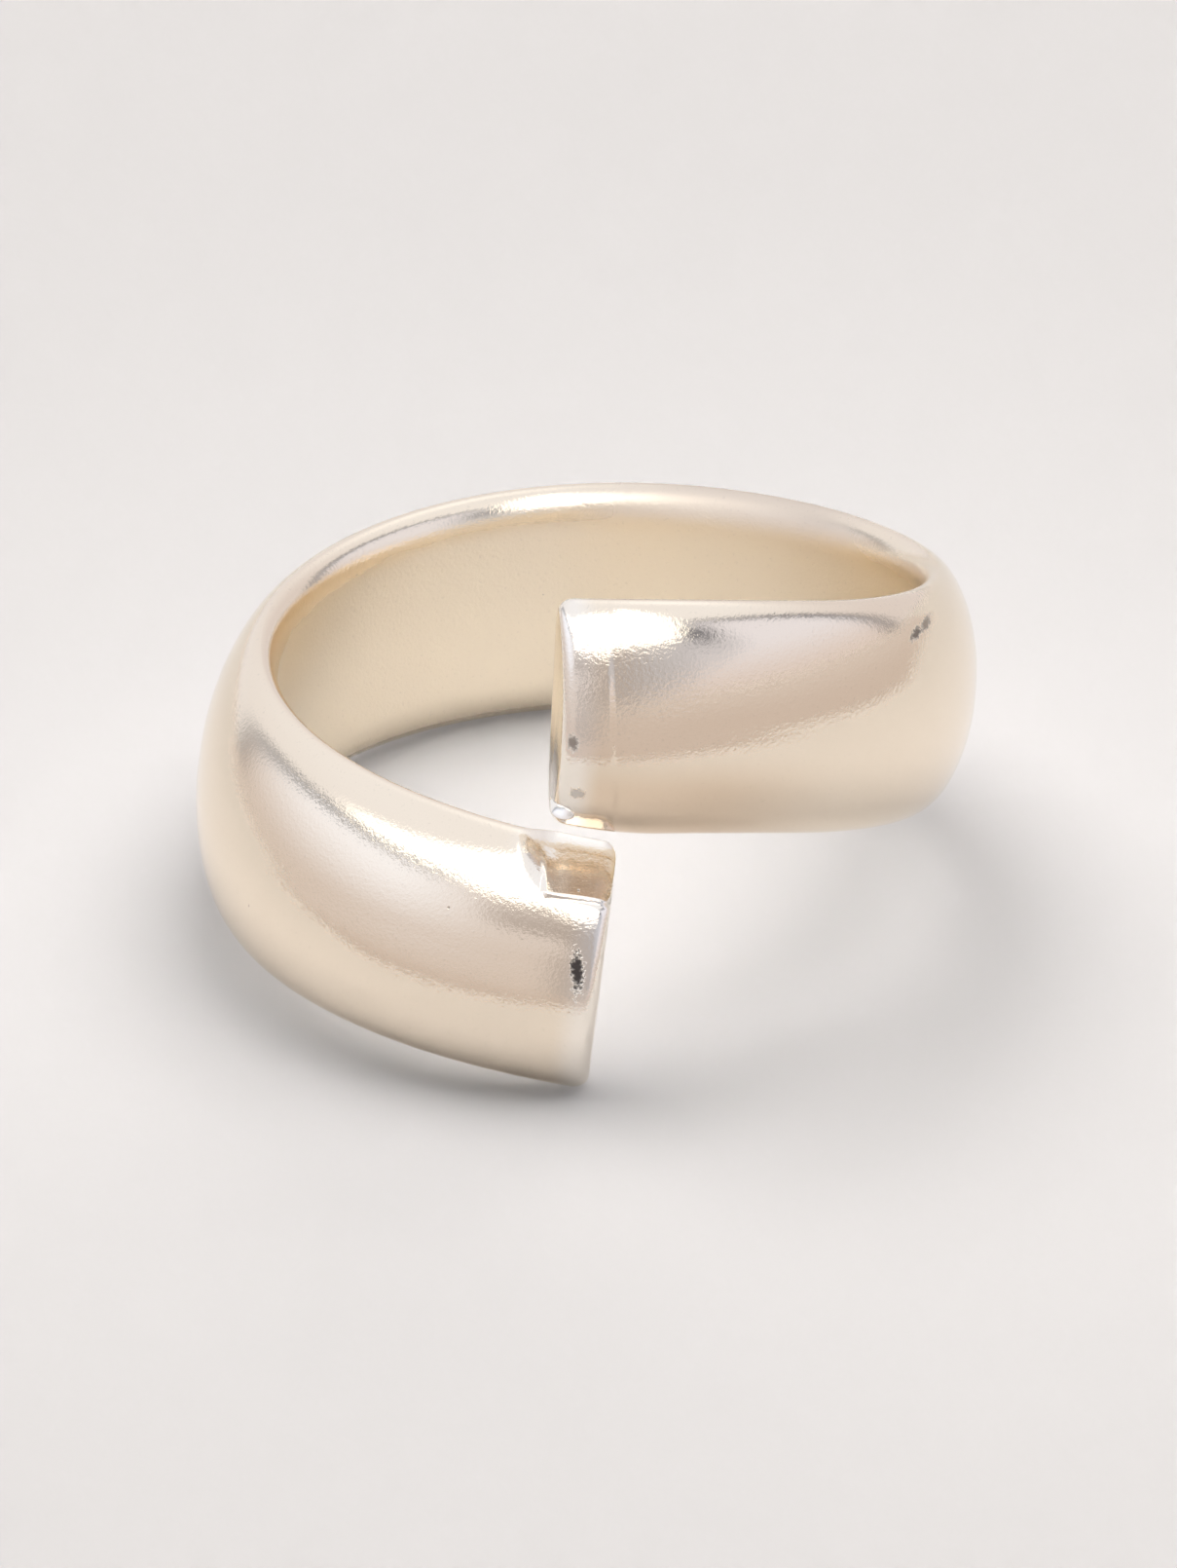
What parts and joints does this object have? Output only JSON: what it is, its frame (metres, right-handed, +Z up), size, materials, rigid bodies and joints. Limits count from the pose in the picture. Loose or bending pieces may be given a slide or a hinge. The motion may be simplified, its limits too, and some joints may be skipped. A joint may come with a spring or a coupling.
{
  "type": "twist ring",
  "caption": "Open finger ring: one wide domed silver band wound a full turn, its two ends passing each other one above the other.",
  "frame": {"origin": "on the surface that the ring lies on, below the middle of its box", "axes": "+Z up from that surface, -Y towards the two ends, +X to the right as seen from the ends"},
  "size_m": [0.0212, 0.0216, 0.0134],
  "materials": {
    "band": "polished silver with fine wear scratches and pits"
  },
  "bodies": {
    "root": {"band": "band"}
  },
  "joints": []
}
